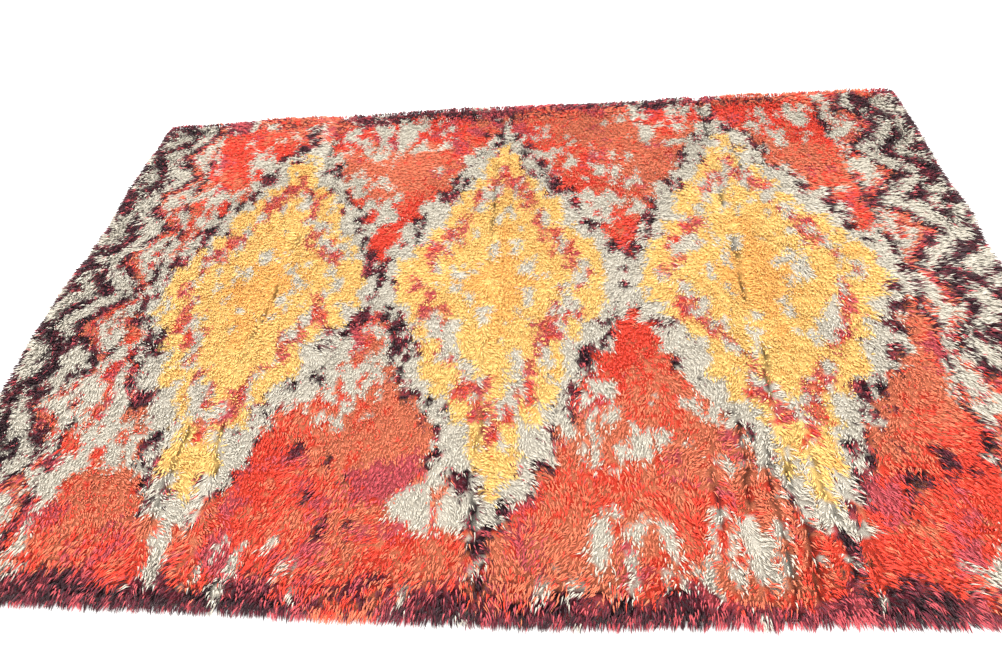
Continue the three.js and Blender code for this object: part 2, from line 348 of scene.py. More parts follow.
fleck_sample = flecks(*np.mgrid[-1:1:0.02, -1:1:0.02])
print("a fleck every few knots:", round(float((fleck_sample > 0.4).mean()), 2))

# %% [markdown]
# The field is coral and orange in broad clouds. Three lozenges with stepped sides stand in it, each
# with bands of its own from its dark outline to its amber heart. Stepped forms are what knotting
# gives of itself, since a slanting line has to climb knot by knot.

# %% The field and its lozenges
LOZENGE_MIDDLES = (-0.80, 0.0, 0.80)
LOZENGE_HALF_LENGTH = 0.39
LOZENGE_HALF_WIDTH = 0.80
STEP_LENGTH, STEP_WIDTH = 0.045, 0.070  # the lozenges' sides climb in such steps
OUTLINE_FROM = 0.92  # from this share of a lozenge outwards, squiggles of cream run through it
CLOUDS = [(1.0, 0.38, 17), (0.5, 0.15, 18)]  # coral or orange: height, pitch, seed
CLUSTERS = [(0.8, 0.21, 19), (0.3, 0.07, 32)]  # where the field has flecks
ROSY = [(0.5, 0.12, 29), (0.4, 0.05, 33)]
CORAL_SHARE = 0.62
CLOUD_CONTRAST = 1.1
ROSE_FROM = 0.60
ROSE_CHANCE = 0.45
CREAM_CLUSTER, CREAM_FLECK = 0.10, 0.06  # cream flecks lie where both are higher
DARK_CLUSTER, DARK_FLECK = -0.55, 0.25  # dark ones where the first is lower, the second higher

LOZENGE_BANDS = [
    # out to this share of the lozenge, main yarns and their shares, fleck yarn, fleck threshold
    (0.28, ((AMBER, 0.94), (YELLOW, 1.0)), YELLOW, 0.62),
    (0.35, ((YELLOW, 0.4), (AMBER, 1.0)), CREAM, -0.10),
    (0.60, ((AMBER, 0.12), (YELLOW, 1.0)), CREAM, 0.55),
    (0.70, ((ORANGE, 0.45), (ROSE, 0.8), (YELLOW, 1.0)), CREAM, -0.05),
    (0.77, ((ROSE, 0.4), (CORAL, 0.6), (ORANGE, 1.0)), CREAM, 0.15),
    (0.92, ((AMBER, 0.10), (YELLOW, 1.0)), CREAM, 0.46),
    (1.02, ((PLUM, 0.35), (WINE, 0.65), (ROSE, 1.0)), CREAM, -0.34),
    (1.16, ((PLUM, 0.60), (WINE, 0.88), (ROSE, 1.0)), CREAM, 0.12),
]


def field_yarns(x, y, fleck, chance):
    """Coral and orange in clouds, rose where they are thinnest, and clusters of flecks."""
    clusters = layered(x, y, CLUSTERS)
    coral_share = np.clip(CORAL_SHARE + CLOUD_CONTRAST * layered(x, y, CLOUDS), 0.05, 0.95)
    yarn = np.where(chance < coral_share, CORAL, ORANGE)
    yarn = np.where(layered(x, y, ROSY) + ROSE_CHANCE * chance > ROSE_FROM, ROSE, yarn)
    yarn = np.where((clusters > CREAM_CLUSTER) & (fleck > CREAM_FLECK), CREAM, yarn)
    dark = np.where(chance < 0.5, PLUM, WINE)
    return np.where((clusters < DARK_CLUSTER) & (fleck > DARK_FLECK), dark, yarn)


def add_lozenges(yarn, place_x, place_y, fleck, squiggle, chance):
    middles = np.array(LOZENGE_MIDDLES)
    from_middle = place_x - middles[np.abs(place_x[:, None] - middles).argmin(1)]
    step_x = np.round(np.abs(from_middle) / STEP_LENGTH) * STEP_LENGTH / LOZENGE_HALF_LENGTH
    step_y = np.round(np.abs(place_y) / STEP_WIDTH) * STEP_WIDTH / LOZENGE_HALF_WIDTH
    out = step_x + step_y
    for reach, shares, fleck_yarn, threshold in reversed(LOZENGE_BANDS):
        band = np.where(fleck > threshold, fleck_yarn, pick(shares, chance))
        band = np.where(squiggle & (reach > OUTLINE_FROM), CREAM, band)
        yarn = np.where(out < reach, band, yarn)
    return yarn


print(len(LOZENGE_MIDDLES), "lozenges of", len(LOZENGE_BANDS), "bands")

# %% [markdown]
# The two ends have wide borders: cream zigzags, one behind the other, on plum at the outside and on
# orange and rose towards the field. The two long sides have only a narrow dark edge, broken by
# stretches where the field's own orange runs out to the rim.

# %% The borders
END_BORDER = 0.310
SIDE_BORDER = 0.075
DARK_SHARE = 0.70  # the outer part of an end border, on plum
GUARD_LINE = 0.022  # the dark line between an end border and the field
ZIGZAG_PERIOD = 0.30
ZIGZAG_HEIGHT = 0.060
ZIGZAG_PITCH = 0.125  # from one cream zigzag to the next
ZIGZAG_SHARE = 0.49  # how much of that pitch is cream
RIM_EDGE = 0.030  # the ends finish in a dark edge this wide
END_FLECK, END_GAP = 0.56, -0.50  # over the first lies a cream fleck, under the second a gap
GUARD_FLECK, RIM_FLECK, SIDE_FLECK = 0.12, 0.35, 0.55
SIDE_WAVER = 0.8  # how much wider and narrower the side border gets, as a share of its width
BESIDE_END = 0.5  # the side border's share of its width where it runs along an end border
END_DARK = ((PLUM, 0.68), (WINE, 0.93), (ROSE, 1.0))  # yarns and their running shares
END_WARM = ((ORANGE, 0.42), (CORAL, 0.6), (ROSE, 0.85), (WINE, 1.0))
SIDE_DARK = ((PLUM, 0.45), (WINE, 0.85), (ROSE, 1.0))
SIDE_WARM = ((ORANGE, 0.5), (CORAL, 0.75), (WINE, 1.0))
SIDE_ROSY = ((ROSE, 0.55), (WINE, 1.0))
ROSY_TO, WARM_TO = 0.0, -0.22  # a side's stretches are dark, then rosy, then warm below these


def end_border(inset, run, fleck, squiggle, chance):
    climb = inset + ZIGZAG_HEIGHT * triangle_wave(run / ZIGZAG_PERIOD)
    on_zigzag = (climb / ZIGZAG_PITCH) % 1 < ZIGZAG_SHARE
    dark, warm = pick(END_DARK, chance), pick(END_WARM, chance)
    ground = np.where(climb < DARK_SHARE * END_BORDER, dark, warm)
    ground = np.where((fleck > END_FLECK) | (squiggle & (fleck > 0)), CREAM, ground)
    cream = np.where((fleck < END_GAP) | (squiggle & (fleck < 0)), ground, CREAM)
    band = np.where(on_zigzag, cream, ground)
    guard = np.where(fleck > GUARD_FLECK, CREAM, dark)
    band = np.where(inset > END_BORDER - GUARD_LINE, guard, band)
    return np.where((inset < RIM_EDGE) & (fleck < RIM_FLECK), dark, band)


def side_border(x, y, fleck, chance):
    dark, warm, rosy = (pick(shares, chance) for shares in (SIDE_DARK, SIDE_WARM, SIDE_ROSY))
    stretch = turned_unevenness(x, y, 0.21, 26)
    band = np.where(stretch > ROSY_TO, dark, np.where(stretch > WARM_TO, rosy, warm))
    return np.where((fleck > SIDE_FLECK) & (stretch > WARM_TO), CREAM, band)


def design(x, y, chance):
    """The yarn number at each place. chance is one random number for each knot."""
    place_x, place_y = x + layered(x, y, SHAKES_X), y + layered(x, y, SHAKES_Y)
    fleck, squiggle = flecks(x, y), squiggles(x, y)
    yarn = field_yarns(x, y, fleck, chance)
    yarn = add_lozenges(yarn, place_x, place_y, fleck, squiggle, chance)
    inset_x, inset_y = HALF_LENGTH - np.abs(place_x), HALF_WIDTH - np.abs(place_y)
    at_end = inset_x < END_BORDER
    yarn = np.where(at_end, end_border(inset_x, place_y, fleck, squiggle, chance), yarn)
    width = SIDE_BORDER * (1 + SIDE_WAVER * turned_unevenness(x, y, 0.16, 27))
    width = np.where(at_end, BESIDE_END * width, width)
    return np.where(inset_y < width, side_border(x, y, fleck, chance), yarn)


sample_places = np.random.default_rng(1).uniform([[-1.5], [-1.0]], [[1.5], [1.0]], (2, 4000))
sample = design(*sample_places, np.random.default_rng(2).uniform(0, 1, 4000))
for number, (name, *_) in enumerate(YARNS):
    print(name, "share:", round(float((sample == number).mean()), 2))

# %% [markdown]
# Pile never stands straight. It leans the way it was brushed and trodden, in slow swirls, mostly
# towards the front. At a crease it parts to both sides, and at the rim it falls outwards.


# %% Which way the pile leans
FALLS = {
    # at each side: from how far in the pile falls outwards, and how strongly
    "front": (0.085, 3.0),
    "back": (0.040, 1.8),
    "ends": (0.060, 2.2),
}
SWIRLS = [(0.95, 0.62, 21), (0.65, 0.21, 22), (0.42, 0.082, 23)]  # angle, pitch, seed
WANDER = [(0.013, 0.11, 24), (0.006, 0.035, 30)]  # how far a parting strays, pitch, seed
FULL_FOLD = 0.012  # a fold of this height parts the pile fully
FOLD_PUSH = 1.7  # how strongly a fold turns the pile aside
FOLD_PUSH_NEARNESS = 0.018
MEAN_OPENNESS, OPENNESS_SPREAD = 0.50, 0.95


def away_from_folds(x, y, nearness):
    """A push away from the middle line of every crease and ridge, as x and y parts."""
    push_x, push_y = np.zeros_like(x), np.zeros_like(x)
    wander = layered(x, y, WANDER)
    for fold in FOLDS:
        from_x, from_y, to_x, to_y, _, height = fold
        run = math.hypot(to_x - from_x, to_y - from_y)
        strength, across = along_fold(fold, x, y)
        push = strength * min(1, abs(height) / FULL_FOLD) * np.tanh((across + wander) / nearness)
        push_x = push_x + push * (to_y - from_y) / run
        push_y = push_y - push * (to_x - from_x) / run
    return push_x, push_y


def openness(x, y):
    """How far a crease gapes at each point (0 to 1): it opens and closes along its length."""
    return np.clip(MEAN_OPENNESS + OPENNESS_SPREAD * turned_unevenness(x, y, 0.085, 31), 0, 1)


def rim_fall(side, inset):
    reach, strength = FALLS[side]
    return strength * smooth(1 - inset / reach)


def lean_field(x, y):
    """The lean of the pile at each point, as x and y parts."""
    angle = layered(x, y, SWIRLS, start=-math.pi / 2)
    push_x, push_y = away_from_folds(x, y, FOLD_PUSH_NEARNESS)
    fall_x = np.sign(x) * rim_fall("ends", HALF_LENGTH - np.abs(x))
    fall_y = np.where(y < 0, -rim_fall("front", HALF_WIDTH + y), rim_fall("back", HALF_WIDTH - y))
    lean_x = np.cos(angle) + FOLD_PUSH * push_x + fall_x
    lean_y = np.sin(angle) + FOLD_PUSH * push_y + fall_y
    size = np.hypot(lean_x, lean_y) + 1e-9
    return lean_x / size, lean_y / size


middle_lean = lean_field(np.array([0.3]), np.array([0.2]))
print("lean near the middle:", [round(float(part[0]), 2) for part in middle_lean])

# %% [markdown]
# One lock is a short bundle of wool: thin at its root, fullest past halfway, and drawn in at its
# cut end. It could be a long cone, but that looks like grass. It is modelled once, with three
# sides: a cone stands on its point, and its top is extruded and merged to the end.

# %% Model one lock
LOCK_BELLY = 0.60  # where a lock is thickest, as a share of its length


def model_lock():
    """Gives the lock's points, each as a share along and two across, and its triangles."""
    nothing_selected()
    bpy.ops.mesh.primitive_cone_add(
        vertices=3, radius1=0, radius2=1, depth=LOCK_BELLY, location=(0, 0, LOCK_BELLY / 2)
    )
    lock = bpy.context.object
    bpy.ops.object.transform_apply(location=True, rotation=False, scale=False)
    bpy.ops.object.mode_set(mode="EDIT")
    bpy.ops.mesh.select_mode(type="FACE")
    bpy.ops.mesh.select_all(action="DESELECT")
    bpy.ops.object.mode_set(mode="OBJECT")
    for face in lock.data.polygons:
        face.select = face.normal.z > 0.9
    bpy.ops.object.mode_set(mode="EDIT")
    bpy.ops.mesh.extrude_region_move(TRANSFORM_OT_translate={"value": (0, 0, 1 - LOCK_BELLY)})
    bpy.ops.mesh.merge(type="CENTER")
    bpy.ops.mesh.select_all(action="SELECT")
    bpy.ops.mesh.remove_doubles(threshold=1e-5)
    bpy.ops.mesh.normals_make_consistent(inside=False)
    bpy.ops.mesh.quads_convert_to_tris()
    bpy.ops.object.mode_set(mode="OBJECT")
    points = np.array([v.co for v in lock.data.vertices])
    faces = np.array([list(f.vertices) for f in lock.data.polygons])
    bpy.data.objects.remove(lock, do_unlink=True)
    return points, faces


lock_points, lock_faces = model_lock()
print("one lock has", len(lock_points), "points and", len(lock_faces), "triangles")

# %% [markdown]
# The roots stand in rows, as the knots do, each a little out of place. Neighbours share a tuft:
# their tips are drawn together and they lean alike, which opens the dark partings between tufts.
# Three extra rows of locks close to the rim fall to the floor.

# %% Plan the roots of the pile
ROOT_PITCH_X = 0.00625
ROOT_PITCH_Y = 0.0069
ROOT_INSET = 0.004  # the field's roots stay this far inside the ground weave's edge
ROOT_STRAY = 0.45  # how far a root is out of place, as a share of the pitch
RIM_INSETS = (0.003, 0.008, 0.014)
RIM_PITCH = 0.0034
RIM_STRAY = 0.002
TUFT_PITCH = 0.0180
GROUND_THICKNESS = 0.003
LOCK_LENGTH = 0.036
LOCK_RADIUS = 0.0021
RIM_THINNING = 0.95  # the rim's own locks are finer than the others
ROOT_DEPTH = 0.026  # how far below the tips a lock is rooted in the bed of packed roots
PARTING = 0.0060  # how far the roots stand back from the middle of a crease where it gapes
PARTING_NEARNESS = 0.004
chance_source = np.random.default_rng(20)


def field_roots():
    """Plain places of the roots inside the rim."""
    half_x, half_y = GROUND_LENGTH / 2 - ROOT_INSET, GROUND_WIDTH / 2 - ROOT_INSET
    xs = np.arange(-half_x, half_x, ROOT_PITCH_X)
    ys = np.arange(-half_y, half_y, ROOT_PITCH_Y)
    x, y = (grid.ravel() for grid in np.meshgrid(xs, ys))
    x = x + chance_source.uniform(-ROOT_STRAY, ROOT_STRAY, len(x)) * ROOT_PITCH_X
    y = y + chance_source.uniform(-ROOT_STRAY, ROOT_STRAY, len(y)) * ROOT_PITCH_Y
    return np.clip(x, -half_x, half_x), np.clip(y, -half_y, half_y)


def rim_roots():
    """Plain places of the rim's extra roots: three rows close to each edge."""
    rows = []
    for inset in RIM_INSETS:
        half_x, half_y = GROUND_LENGTH / 2 - inset, GROUND_WIDTH / 2 - inset
        run_x = np.arange(-half_x, half_x, RIM_PITCH)
        run_y = np.arange(-half_y, half_y, RIM_PITCH)
        rows += [(run_x, np.full_like(run_x, side * half_y)) for side in (-1, 1)]
        rows += [(np.full_like(run_y, side * half_x), run_y) for side in (-1, 1)]
    x, y = (np.concatenate(parts) for parts in zip(*rows))
    x = x + chance_source.uniform(-RIM_STRAY, RIM_STRAY, len(x))
    return x, y + chance_source.uniform(-RIM_STRAY, RIM_STRAY, len(y))


def plan_roots():
    field, rim = field_roots(), rim_roots()
    x, y = (np.concatenate([a, b]) for a, b in zip(field, rim))
    push_x, push_y = away_from_folds(x, y, PARTING_NEARNESS)
    parting = PARTING * openness(x, y)
    return x + parting * push_x, y + parting * push_y, np.arange(len(x)) >= len(field[0])


root_x, root_y, on_rim = plan_roots()
print(len(root_x), "roots,", int(on_rim.sum()), "of them on the rim")

# %% [markdown]
# Yarns are chosen knot by knot: four or five neighbouring locks come from one knot and share one
# random number, and some of them take a number of their own, which is the melange of a rya.

# %% Choose the yarn of every lock
KNOT_PITCH = 0.014
OWN_CHOICE = 0.22  # the share of locks that go their own way
KNOT_SHAKE = 0.007  # how far from its root a lock looks up its colour


def choose_yarns(x, y):
    knot_x, knot_y = np.floor(x / KNOT_PITCH), np.floor(y / KNOT_PITCH)
    shared = scatter(knot_x, knot_y, 41)
    own = chance_source.uniform(0, 1, len(x))
    chance = np.where(chance_source.uniform(0, 1, len(x)) < OWN_CHOICE, own, shared)
    x = x + chance_source.normal(0, KNOT_SHAKE, len(x))
    return design(x, y + chance_source.normal(0, KNOT_SHAKE, len(y)), chance)


yarn_numbers = choose_yarns(root_x, root_y)
for number, (name, *_) in enumerate(YARNS):
    print(name, "locks:", int((yarn_numbers == number).sum()))

# %% [markdown]
# The tips of the locks lie on the top of the solid, and the rim lies lower. The roots are lower
# still, and tufts stand in rows that are shifted by half a tuft, as bricks are.

# %% Find each lock's tuft and height
TUFT_STRAY = 0.9  # a tuft's middle lies anywhere within this share of the pitch
EDGE_WIDTH = 0.05  # how wide the rim is over which the pile gets lower
FRONT_DROP, EDGE_DROP = 0.40, 0.12  # how much lower the pile gets at the rim, as a share


def tuft_of(x, y):
    """The tuft each root belongs to: its middle, and a seed of its own."""
    row = np.floor(y / TUFT_PITCH)
    column = np.floor(x / TUFT_PITCH + 0.5 * (row % 2))
    stray_x = TUFT_STRAY * (scatter(column, row, 31) - 0.5)
    stray_y = TUFT_STRAY * (scatter(column, row, 32) - 0.5)
    middle_x = (column + 0.5 - 0.5 * (row % 2) + stray_x) * TUFT_PITCH
    middle_y = (row + 0.5 + stray_y) * TUFT_PITCH
    return middle_x, middle_y, column, row


def edge_inset(x, y):
    """How far each place is inside the nearest edge."""
    return np.minimum(HALF_LENGTH - np.abs(x), HALF_WIDTH - np.abs(y))


def near_edge(x, y):
    """From 0 inside the rug to 1 at its rim, and which places lie along the front."""
    return smooth(1 - edge_inset(x, y) / EDGE_WIDTH), HALF_WIDTH + y < EDGE_WIDTH


def roots_and_rise(x, y):
    """The height of the locks' roots, and how far the locks rise over them. The rim lies lower."""
    top = pile_top(x, y)
    edge, at_front = near_edge(x, y)
    low = np.maximum(GROUND_THICKNESS, top - ROOT_DEPTH)
    return low, (top - low) * (1 - np.where(at_front, FRONT_DROP, EDGE_DROP) * edge)


middle_rise = roots_and_rise(np.array([0.2]), np.array([0.1]))[1][0]
print("a lock near the middle rises", round(1000 * float(middle_rise), 1), "mm from its root")

# %% [markdown]
# A lock's path has three places: its root, its belly and its tip. It rises steeply and then bends
# over, as yarn does under its own weight.

# %% Bend every lock to its own path
TUFT_TWIST, LOCK_TWIST = 0.34, 0.14  # how far a tuft and a lock turn off the lean, in radians
TUFT_HEIGHTS = (0.93, 0.16)  # the tufts' height beside the pile's, and how much it varies
LENGTH_SPREAD, RISE_SPREAD = 0.16, 0.0016
RIM_LENGTH = 1.02  # how long the rim's own locks are beside the others
LEAST_REACH = 0.3  # the least reach of a lock, as a share of its length
REACH, EDGE_REACH_LOSS = 0.98, 0.14
STANDING = (0.45, 0.8)  # how upright patches of the pile stand, and how much that varies
STANDING_REACH_LOSS = 0.36
GATHER = 0.42  # how far a lock's tip is drawn to the middle of its tuft
BELLY_REACH, BELLY_RISE, BELLY_GATHER = 0.40, 0.71, 0.5  # the belly's share of the tip's
FRONT_DROOP, EDGE_DROOP = 0.75, 0.35  # how far a lock of the rim droops at the least
DROOP_HEIGHT, DROOP_SPREAD = 0.0022, 0.002  # how high a drooping tip lies
BELLY_DROOP = 0.25  # how far the belly comes down with its tip
LEAST_BELLY, LEAST_TIP = 0.006, 0.002  # no belly and no tip lies lower


def turned_lean(x, y, tuft):
    """Which way each lock leans: with its tuft, and a little its own way."""
    middle_x, middle_y, column, row = tuft
    lean_x, lean_y = lean_field(0.5 * (x + middle_x), 0.5 * (y + middle_y))
    twist = TUFT_TWIST * (2 * scatter(column, row, 33) - 1)
    twist = twist + chance_source.normal(0, LOCK_TWIST, len(x))
    return np.stack([
        lean_x * np.cos(twist) - lean_y * np.sin(twist),
        lean_x * np.sin(twist) + lean_y * np.cos(twist),
    ], 1)


def rise_and_reach(x, y, tuft, rim, edge, surface_rise):
    """How far each lock rises and how far it reaches sideways, for the length it has."""
    count = len(x)
    length = LOCK_LENGTH * (1 + LENGTH_SPREAD * chance_source.uniform(-1, 1, count))
    length = length * np.where(rim, RIM_LENGTH, 1.0)
    mean_height, height_spread = TUFT_HEIGHTS
    rise = surface_rise * (mean_height + height_spread * (scatter(*tuft[2:], 34) - 0.5))
    rise = rise + chance_source.normal(0, RISE_SPREAD, count)
    reach = np.sqrt(np.maximum(length**2 - rise**2, (LEAST_REACH * length) ** 2))
    reach = reach * (REACH - EDGE_REACH_LOSS * edge)
    mean_standing, standing_spread = STANDING
    standing = smooth(mean_standing + standing_spread * turned_unevenness(x, y, 0.17, 28)) * (1 - edge)
    return rise, reach * (1 - STANDING_REACH_LOSS * standing)


def droop(belly, tip, rim, at_front):
    """Lets the rim's own locks droop until their ends rest on the floor."""
    least = np.where(at_front, FRONT_DROOP, EDGE_DROOP)
    share = np.where(rim, 1.0, 0.0) * (least + (1 - least) * chance_source.uniform(0, 1, len(rim)))
    floor_height = DROOP_HEIGHT + DROOP_SPREAD * chance_source.uniform(0, 1, len(rim))
    tip[:, 2] = tip[:, 2] * (1 - share) + floor_height * share
    belly[:, 2] = np.maximum(belly[:, 2] * (1 - BELLY_DROOP * share), LEAST_BELLY)
    tip[:, 2] = np.maximum(tip[:, 2], LEAST_TIP)


def lock_paths(x, y, rim):
    """Root, belly and tip of every lock in their real places, as an array (locks, 3, 3)."""
    tuft = tuft_of(x, y)
    none = np.zeros(len(x))
    edge, at_front = near_edge(x, y)
    heading = turned_lean(x, y, tuft)
    low, surface_rise = roots_and_rise(x, y)
    rise, reach = rise_and_reach(x, y, tuft, rim, edge, surface_rise)

    gather = GATHER * (1 - edge)
    pull = np.stack([(tuft[0] - x) * gather, (tuft[1] - y) * gather, none], 1)
    flat = np.concatenate([heading, none[:, None]], 1)
    up = np.array([0.0, 0.0, 1.0])
    root = np.stack([*settle(x, y), low], 1)
    belly = root + flat * (BELLY_REACH * reach)[:, None] + up * (BELLY_RISE * rise)[:, None]
    belly = belly + BELLY_GATHER * pull
    tip = root + flat * reach[:, None] + up * rise[:, None] + pull

    # A lock's end lies on the pile in front of it, so it climbs or sinks with the surface there.
    ahead_low, ahead_rise = roots_and_rise(x + heading[:, 0] * reach, y + heading[:, 1] * reach)
    climb = (ahead_low + ahead_rise - (low + surface_rise)) * (1 - edge)
    belly[:, 2] += BELLY_REACH * climb
    tip[:, 2] += climb
    droop(belly, tip, rim, at_front)
    return np.stack([root, belly, tip], 1)


paths = lock_paths(root_x, root_y, on_rim)
print("paths:", len(paths))

# %% [markdown]
# Each of the three places gets a cross-section turned to the path, and the modelled lock is
# stretched over them, for all locks at once. It could be done with a curve modifier on one lock
# after another, but on arrays it takes a second.

# %% Stretch the lock over every path
RADIUS_SPREAD = 0.2
LEAST_POINT = 0.0004  # no part of a lock lies lower


def stretch_locks(paths, radius):
    """The modelled lock stretched over every path. Gives points as (locks, points, 3)."""
    count = len(paths)
    ways = np.stack([
        paths[:, 1] - paths[:, 0], paths[:, 2] - paths[:, 0], paths[:, 2] - paths[:, 1],
    ], 1)
    ways /= np.linalg.norm(ways, axis=2, keepdims=True)
    side = np.cross(ways, [0.0, 0.0, 1.0])
    side /= np.linalg.norm(side, axis=2, keepdims=True) + 1e-12
    normal = np.cross(ways, side)
    turn = chance_source.uniform(0, 2 * math.pi, count)[:, None, None]
    across_1 = np.cos(turn) * side + np.sin(turn) * normal
    across_2 = np.cross(ways, across_1)
    place = np.rint(np.interp(lock_points[:, 2], [0, LOCK_BELLY, 1], [0, 1, 2])).astype(int)
    thick = radius[:, None, None]
    points = paths[:, place]
    points = points + thick * lock_points[None, :, :1] * across_1[:, place]
    points = points + thick * lock_points[None, :, 1:2] * across_2[:, place]
    points[..., 2] = np.maximum(points[..., 2], LEAST_POINT)
    return points


lock_radius = LOCK_RADIUS * (1 + RADIUS_SPREAD * chance_source.uniform(-1, 1, len(paths)))
lock_radius = np.where(on_rim, RIM_THINNING, 1.0) * lock_radius
lock_radius *= np.array([thickness for *_, thickness in YARNS])[yarn_numbers]
all_points = stretch_locks(paths, lock_radius)
print("pile reaches", np.round(all_points.min((0, 1)), 3), np.round(all_points.max((0, 1)), 3))

# %% [markdown]
# Every material here is a small net of nodes. A few functions make the nodes that come again and
# again, so that a material reads like a recipe.


# %% Short ways to make nodes
def link(tree, source, target):
    tree.links.new(source, target)


def math_node(tree, operation, first, second=None, clamp=False):
    """A Math node; each input is a socket or a plain number."""
    node = tree.nodes.new("ShaderNodeMath")
    node.operation = operation
    node.use_clamp = clamp
    for place, value in enumerate((first, second)):
        if value is None:
            continue
        if isinstance(value, (int, float)):
            node.inputs[place].default_value = value
        else:
            link(tree, value, node.inputs[place])
    return node.outputs[0]


def mix_colour(tree, blend, factor, first, second):
    node = tree.nodes.new("ShaderNodeMix")
    node.data_type = "RGBA"
    node.blend_type = blend
    for place, value in ((0, factor), (6, first), (7, second)):
        if isinstance(value, (int, float, tuple)):
            node.inputs[place].default_value = value
        else:
            link(tree, value, node.inputs[place])
    return node.outputs[2]


def map_range(tree, value, low, high, to_low, to_high):
    node = tree.nodes.new("ShaderNodeMapRange")
    link(tree, value, node.inputs["Value"])
    for place, number in enumerate((low, high, to_low, to_high), start=1):
        node.inputs[place].default_value = number
    return node.outputs["Result"]


def lit(tree, colour, brightness):
    """A colour made lighter or darker by a socket's value."""
    light = tree.nodes.new("ShaderNodeCombineColor")
    for channel in light.inputs[:3]:
        link(tree, brightness, channel)
    return mix_colour(tree, "MULTIPLY", 1.0, colour, light.outputs[0])


def raised(tree, height, strength, distance, invert=False):
    """The normal of a surface with fine relief."""
    bump = tree.nodes.new("ShaderNodeBump")
    bump.invert = invert
    bump.inputs["Strength"].default_value = strength
    bump.inputs["Distance"].default_value = distance
    link(tree, height, bump.inputs["Height"])
    return bump.outputs[0]


def matt_material(name, roughness, specular):
    """A new material, its node tree and its shader."""
    material = bpy.data.materials.new(name)
    material.use_nodes = True
    shader = material.node_tree.nodes["Principled BSDF"]
    shader.inputs["Roughness"].default_value = roughness
    shader.inputs["Specular IOR Level"].default_value = specular
    return material, material.node_tree, shader


def object_places(tree):
    return tree.nodes.new("ShaderNodeTexCoord").outputs["Object"]


def attribute(tree, name, output="Fac"):
    node = tree.nodes.new("ShaderNodeAttribute")
    node.attribute_name = name
    return node.outputs[output]


def group_with(name, inputs, outputs):
    """A new shader node group with named sockets, and its two end nodes."""
    group = bpy.data.node_groups.new(name, "ShaderNodeTree")
    for socket_name, kind, value in inputs:
        socket = group.interface.new_socket(socket_name, in_out="INPUT", socket_type=kind)
        socket.default_value = value
    for socket_name, kind in outputs:
        group.interface.new_socket(socket_name, in_out="OUTPUT", socket_type=kind)
    return group, group.nodes.new("NodeGroupInput"), group.nodes.new("NodeGroupOutput")


print("materials so far:", [material.name for material in bpy.data.materials])

# %% [markdown]
# Wool yarn is two plies twisted together, fuzzy and matt. One node group serves every yarn. It
# paints shade onto a lock towards its root, darker in most yarns; in the two yellow ones it paints
# light there instead, for the light that passes through pale wool. It mixes the two plies' colours
# from lock to lock, and raises the twist and the fibres as a fine bump. Each lock carries its own
# random tone as an attribute, and each of its points its place along the lock, because those
# follow the lock however it bends.

# %% The wool yarn node group
FIBRE_SCALE = 700
PLY_TURNS = 6.0  # how often the plies twist round each other in one lock
PLY_HEIGHT = 0.3  # the plies' relief beside the fibres'
STREAKS = (0.96, 1.04)  # how dark and how light the fibres make the wool
LEAST_SPREAD, MORE_SPREAD = 0.06, 0.45  # how much locks differ; more where roots get more painted shade
MIDDLE_CHANCE = 0.55
TONE_SHUFFLE = 7.3  # turns a lock's tone into a second random number
FIBRE_RANGE = (0.3, 0.7)
ROOT_END, TIP_START = 0.15, 0.85  # the painted shade at the root (painted light in the yellow yarns) fades out between these shares of a lock
YARN_RELIEF, YARN_RELIEF_DEPTH = 0.35, 0.0007
SHEEN, SHEEN_ROUGHNESS = 0.14, 0.4


def wool_yarn_group():
    group, given, result = group_with(
        "wool yarn",
        [
            ("Colour", "NodeSocketColor", (1, 1, 1, 1)),
            ("Other Ply", "NodeSocketColor", (1, 1, 1, 1)),
            ("Painted Root Shade", "NodeSocketFloat", 0.4),
        ],
        [("Colour", "NodeSocketColor"), ("Normal", "NodeSocketVector")],
    )
    painted_root_shade = given.outputs["Painted Root Shade"]
    tone, along, around = (attribute(group, name) for name in ("tone", "along", "around"))

    fibres = group.nodes.new("ShaderNodeTexNoise")
    fibres.inputs["Scale"].default_value = FIBRE_SCALE
    fibres.inputs["Detail"].default_value = 2
    link(group, object_places(group), fibres.inputs["Vector"])
    turns = math_node(group, "ADD", math_node(group, "MULTIPLY", along, PLY_TURNS), around)
    twist = math_node(group, "SINE", math_node(group, "MULTIPLY", turns, 2 * math.pi))
    height = math_node(group, "ADD", math_node(group, "MULTIPLY", twist, PLY_HEIGHT), fibres.outputs[0])

    colour = mix_colour(group, "MIX", tone, given.outputs["Colour"], given.outputs["Other Ply"])
    chance = math_node(group, "FRACT", math_node(group, "MULTIPLY", tone, TONE_SHUFFLE))
    darker = math_node(group, "SUBTRACT", 1.0, painted_root_shade)
    spread = math_node(group, "MULTIPLY", MORE_SPREAD, darker)
    spread = math_node(group, "ADD", LEAST_SPREAD, spread, clamp=True)
    bright = math_node(group, "MULTIPLY", math_node(group, "SUBTRACT", chance, MIDDLE_CHANCE), spread)
    bright = math_node(group, "ADD", 1.0, bright)
    streaks = map_range(group, fibres.outputs[0], *FIBRE_RANGE, *STREAKS)
    bright = math_node(group, "MULTIPLY", bright, streaks)
    # painted shade towards a lock's root, and painted light there in the two yellow yarns
    depth = map_range(group, along, ROOT_END, TIP_START, 0.0, 1.0)
    shade = math_node(group, "ADD", painted_root_shade, math_node(group, "MULTIPLY", depth, darker))
    brightness = math_node(group, "MULTIPLY", bright, shade)
    link(group, lit(group, colour, brightness), result.inputs["Colour"])
    link(group, raised(group, height, YARN_RELIEF, YARN_RELIEF_DEPTH), result.inputs["Normal"])
    return group


wool_yarn = wool_yarn_group()


